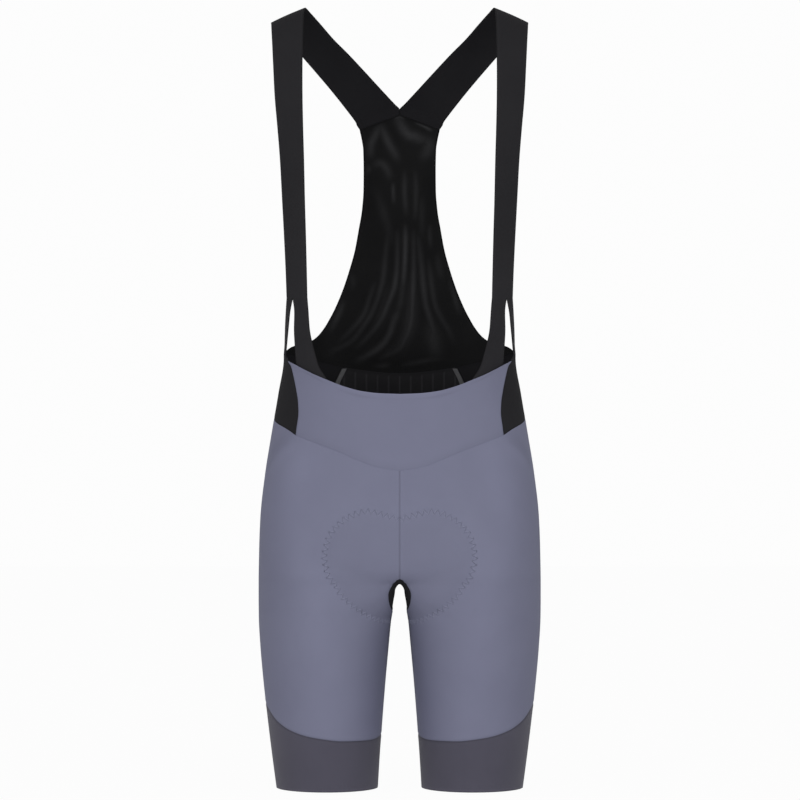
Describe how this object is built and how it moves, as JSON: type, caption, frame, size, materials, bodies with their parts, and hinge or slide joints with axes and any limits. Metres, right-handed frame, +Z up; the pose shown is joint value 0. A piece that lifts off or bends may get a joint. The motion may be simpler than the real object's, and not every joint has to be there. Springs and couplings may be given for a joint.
{
  "type": "cycling bib shorts",
  "caption": "Cycling bib shorts, hollow and filled out as worn: stretch shorts with dark leg bands and a seat pad, a mesh back and flat shoulder straps.",
  "frame": {"origin": "middle plane at the top of the shoulder straps, where the wearer's shoulders carry the garment", "axes": "+Z up, the garment's front faces -Y, the wearer's left side is +X"},
  "size_m": [0.3384, 0.2342, 0.9346],
  "materials": {
    "blue_grey_jersey": "smooth matt stretch jersey",
    "leg_band": "dense ribbed stretch band, matt",
    "black_knit": "dense flat stretch knit, matt",
    "black_mesh": "fine open mesh, matt",
    "grey_tape": "woven seam tape, matt",
    "pad_cloth": "brushed cloth over foam, matt"
  },
  "bodies": {
    "root": {"belly_panel": "blue_grey_jersey", "leg_front_left": "blue_grey_jersey", "leg_front_right": "blue_grey_jersey", "leg_back_left": "blue_grey_jersey", "leg_back_right": "blue_grey_jersey", "leg_band_left": "leg_band", "leg_band_right": "leg_band", "gusset": "black_knit", "side_panel_left": "black_knit", "side_panel_right": "black_knit", "lumbar_panel": "black_mesh", "mesh_back": "black_mesh", "strap_left": "black_knit", "strap_right": "black_knit", "seam_tape_left": "grey_tape", "seam_tape_right": "grey_tape", "seat_pad": "pad_cloth"}
  },
  "joints": []
}
